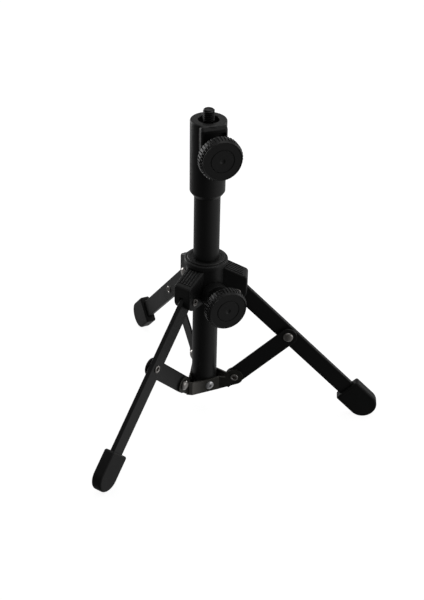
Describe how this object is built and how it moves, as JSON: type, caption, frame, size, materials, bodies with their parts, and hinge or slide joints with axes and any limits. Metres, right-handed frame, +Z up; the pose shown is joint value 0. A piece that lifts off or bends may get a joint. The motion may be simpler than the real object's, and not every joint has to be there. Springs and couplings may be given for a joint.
{
  "type": "desktop microphone stand",
  "caption": "Short folding tripod stand for a microphone: threaded stud on a sliding tube, knob clamps, and riveted flat legs with braces and rubber feet.",
  "frame": {"origin": "centre of the collar's top face, on the column axis, inside the stud's threaded length", "axes": "+Z up along the column towards the stud's tip; +X along the right-hand leg; the other legs are at 120 and 240 degrees about +Z"},
  "size_m": [0.2372, 0.2732, 0.2903],
  "materials": {
    "painted_steel": "satin black paint",
    "collar_plastic": "fine-grained black moulding",
    "hub_plastic": "fine-grained black moulding",
    "knob_plastic": "fine-grained black moulding",
    "black_plastic": "plain black",
    "bushing_plastic": "smooth dark acetal",
    "foot_rubber": "matt black rubber",
    "dark_strip": "gunmetal, slightly olive",
    "bright_steel": "nickel plated",
    "stud_steel": "dark plated",
    "insert_brass": "plain",
    "bare_aluminium": "bare"
  },
  "bodies": {
    "column": {"main_tube": "painted_steel", "tube_plug": "black_plastic", "top_collar": "collar_plastic", "guide_bushing": "bushing_plastic", "upper_insert": "insert_brass", "spider_strip_right": "dark_strip", "spider_strip_rear": "dark_strip", "spider_strip_front": "dark_strip", "spider_rivets": "bright_steel", "blind_rivets": "bare_aluminium"},
    "inner_tube": {"inner_tube": "painted_steel", "inner_tube_foot": "bushing_plastic", "stud_plug": "stud_steel", "mic_stud": "stud_steel"},
    "upper_pad": {"upper_pad": "bushing_plastic"},
    "upper_knob": {"upper_knob": "knob_plastic", "upper_screw": "bright_steel"},
    "hub": {"hub_body": "hub_plastic", "hub_bushing": "bushing_plastic", "lower_insert": "insert_brass", "hub_rivets": "bright_steel"},
    "lower_pad": {"lower_pad": "bushing_plastic"},
    "lower_knob": {"lower_knob": "knob_plastic", "lower_screw": "bright_steel"},
    "brace_right": {"brace_right": "painted_steel"},
    "leg_right": {"leg_right": "painted_steel", "foot_right": "foot_rubber", "spacer_washer_right": "bright_steel", "brace_rivet_right": "bright_steel"},
    "brace_rear": {"brace_rear": "painted_steel"},
    "leg_rear": {"leg_rear": "painted_steel", "foot_rear": "foot_rubber", "spacer_washer_rear": "bright_steel", "brace_rivet_rear": "bright_steel"},
    "brace_front": {"brace_front": "painted_steel"},
    "leg_front": {"leg_front": "painted_steel", "foot_front": "foot_rubber", "spacer_washer_front": "bright_steel", "brace_rivet_front": "bright_steel"}
  },
  "joints": [
    {"name": "brace_right_fold", "type": "hinge", "parent": "column", "child": "brace_right", "pos_m": [0.0274, -0.0044, -0.24516], "axis": [0, -1, 0], "range_deg": [-12, 38]},
    {"name": "leg_right_fold", "type": "hinge", "parent": "brace_right", "child": "leg_right", "pos_m": [0.07311, 0, -0.20008], "axis": [0, -1, 0], "range_deg": [-76, 24]},
    {"name": "brace_rear_fold", "type": "hinge", "parent": "column", "child": "brace_rear", "pos_m": [-0.00989, 0.02593, -0.24516], "axis": [0.866, 0.5, 0], "range_deg": [-12, 38]},
    {"name": "leg_rear_fold", "type": "hinge", "parent": "brace_rear", "child": "leg_rear", "pos_m": [-0.03656, 0.06332, -0.20008], "axis": [0.866, 0.5, 0], "range_deg": [-76, 24]},
    {"name": "brace_front_fold", "type": "hinge", "parent": "column", "child": "brace_front", "pos_m": [-0.01751, -0.02153, -0.24516], "axis": [-0.866, 0.5, 0], "range_deg": [-12, 38]},
    {"name": "leg_front_fold", "type": "hinge", "parent": "brace_front", "child": "leg_front", "pos_m": [-0.03656, -0.06332, -0.20008], "axis": [-0.866, 0.5, 0], "range_deg": [-76, 24]},
    {"name": "hub_level", "type": "hinge", "parent": "leg_right", "child": "hub", "pos_m": [0.0274, 0, -0.155], "axis": [0, -1, 0], "range_deg": [-12, 38]},
    {"name": "inner_tube_slide", "type": "slide", "parent": "column", "child": "inner_tube", "axis": [0, 0, 1], "range_m": [0, 0.1]},
    {"name": "upper_pad_slide", "type": "slide", "parent": "column", "child": "upper_pad", "axis": [0.3907, -0.9205, 0], "range_m": [0, 0.002]},
    {"name": "upper_knob_turn", "type": "hinge", "parent": "upper_pad", "child": "upper_knob", "pos_m": [0.01407, -0.03314, -0.021], "axis": [0.3907, -0.9205, 0], "range_deg": [0, 720]},
    {"name": "lower_pad_slide", "type": "slide", "parent": "hub", "child": "lower_pad", "axis": [0.4695, -0.8829, 0], "range_m": [0, 0.002]},
    {"name": "lower_knob_turn", "type": "hinge", "parent": "lower_pad", "child": "lower_knob", "pos_m": [0.02225, -0.04185, -0.1535], "axis": [0.4695, -0.8829, 0], "range_deg": [0, 720]}
  ],
  "couplings": [
    {"joint": "leg_right_fold", "follows": "brace_right_fold", "ratio": -2},
    {"joint": "brace_rear_fold", "follows": "brace_right_fold", "ratio": 1},
    {"joint": "leg_rear_fold", "follows": "brace_right_fold", "ratio": -2},
    {"joint": "brace_front_fold", "follows": "brace_right_fold", "ratio": 1},
    {"joint": "leg_front_fold", "follows": "brace_right_fold", "ratio": -2},
    {"joint": "hub_level", "follows": "brace_right_fold", "ratio": 1},
    {"joint": "upper_knob_turn", "follows": "upper_pad_slide", "rad_per_m": 6283.2},
    {"joint": "lower_knob_turn", "follows": "lower_pad_slide", "rad_per_m": 6283.2}
  ]
}
